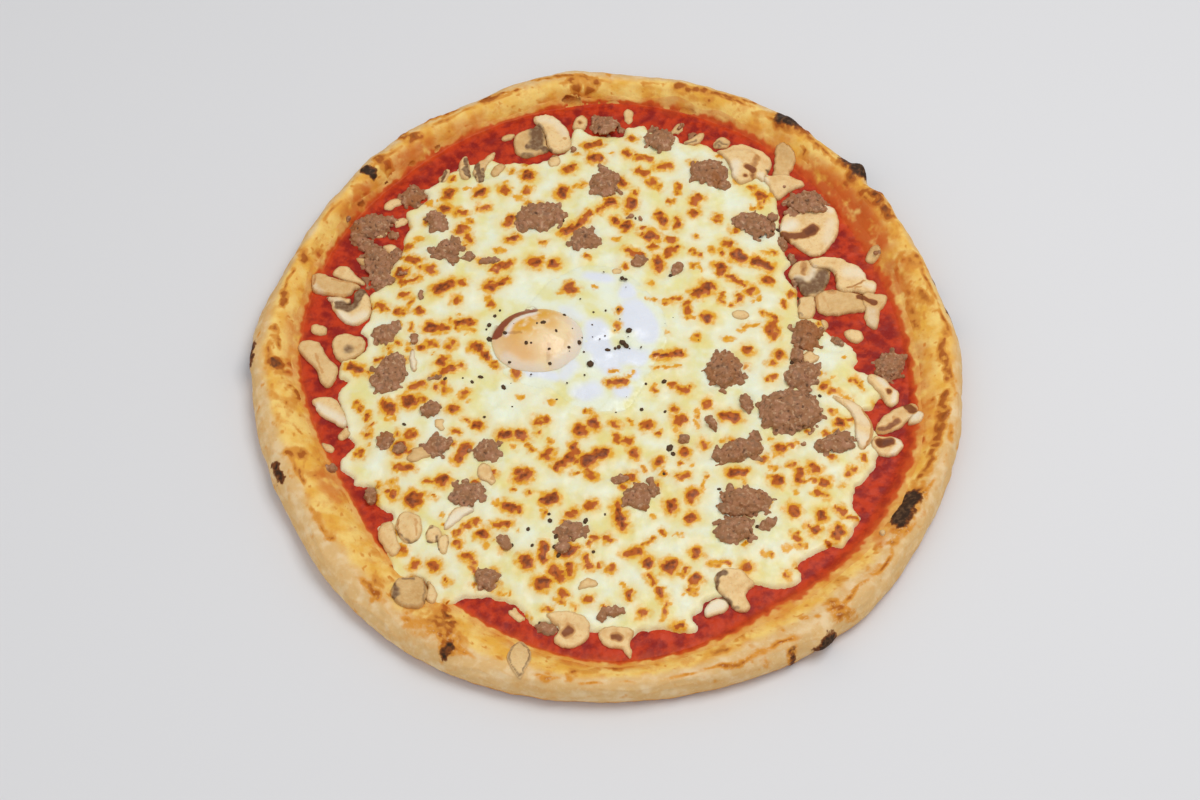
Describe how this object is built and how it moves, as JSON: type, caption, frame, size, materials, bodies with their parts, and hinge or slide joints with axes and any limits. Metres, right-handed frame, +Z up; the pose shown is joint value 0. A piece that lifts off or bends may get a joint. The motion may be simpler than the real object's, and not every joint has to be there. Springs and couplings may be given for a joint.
{
  "type": "mushroom, mince and egg pizza",
  "caption": "Whole round pizza with a raised charred rim, tomato sauce, toasted melted cheese, crumbled mince, mushroom slices and a fried egg in the middle.",
  "frame": {"origin": "middle of the pizza's outline, on its flat underside", "axes": "+Z up from the surface it lies on, -Y towards the eater, +X to the right"},
  "size_m": [0.293, 0.3022, 0.018],
  "materials": {
    "crust": "baked dough, golden with pale floured and charred patches",
    "sauce": "wet tomato sauce",
    "cheese": "melted mozzarella with toasted brown spots, satin",
    "egg_white": "set egg white, satin",
    "yolk": "cooked yolk under a white film, satin",
    "mince": "cooked crumbled mince, matt",
    "mushroom": "cooked mushroom slice, satin"
  },
  "bodies": {
    "root": {"crust": "crust", "sauce": "sauce", "cheese": "cheese", "egg_white": "egg_white", "yolk": "yolk", "mince_north": "mince", "mince_north_east": "mince", "mince_on_slice": "mince", "mince_two_oclock": "mince", "mince_one_oclock": "mince", "mince_upper": "mince", "mince_upper_left": "mince", "mince_above_egg": "mince", "mince_ten_oclock_outer": "mince", "mince_ten_oclock_inner": "mince", "mince_ten_thirty": "mince", "mince_left_upper": "mince", "mince_left_middle": "mince", "mince_nine_oclock": "mince", "mince_left_lower": "mince", "mince_eight_inner": "mince", "mince_lower_left": "mince", "mince_seven_oclock": "mince", "mince_seven_outer": "mince", "mince_south": "mince", "mince_below_egg": "mince", "mince_five_upper": "mince", "mince_five_lower": "mince", "mince_four_oclock": "mince", "mince_three_large": "mince", "mince_three_upper": "mince", "mince_three_roasted": "mince", "mince_right_of_egg": "mince", "mince_on_sauce": "mince", "mince_four_outer": "mince", "mushroom_north_cap": "mushroom", "mushroom_north_stem": "mushroom", "mushroom_gill_strip_a": "mushroom", "mushroom_gill_strip_b": "mushroom", "mushroom_one_thirty": "mushroom", "mushroom_stem_strip": "mushroom", "mushroom_round_slice": "mushroom", "mushroom_large_cap": "mushroom", "mushroom_large_gills": "mushroom", "mushroom_large_stem": "mushroom", "mushroom_petal_east": "mushroom", "mushroom_ring_east": "mushroom", "mushroom_lobe_east": "mushroom", "mushroom_crescent_east": "mushroom", "mushroom_left_slab": "mushroom", "mushroom_left_half": "mushroom", "mushroom_left_stem": "mushroom", "mushroom_left_curl": "mushroom", "mushroom_left_leaf": "mushroom", "mushroom_seven_thirty": "mushroom", "mushroom_roasted_lump": "mushroom", "mushroom_rim_leaf": "mushroom", "mushroom_south_left": "mushroom", "mushroom_south_right": "mushroom", "mushroom_five_fold": "mushroom"}
  },
  "joints": []
}
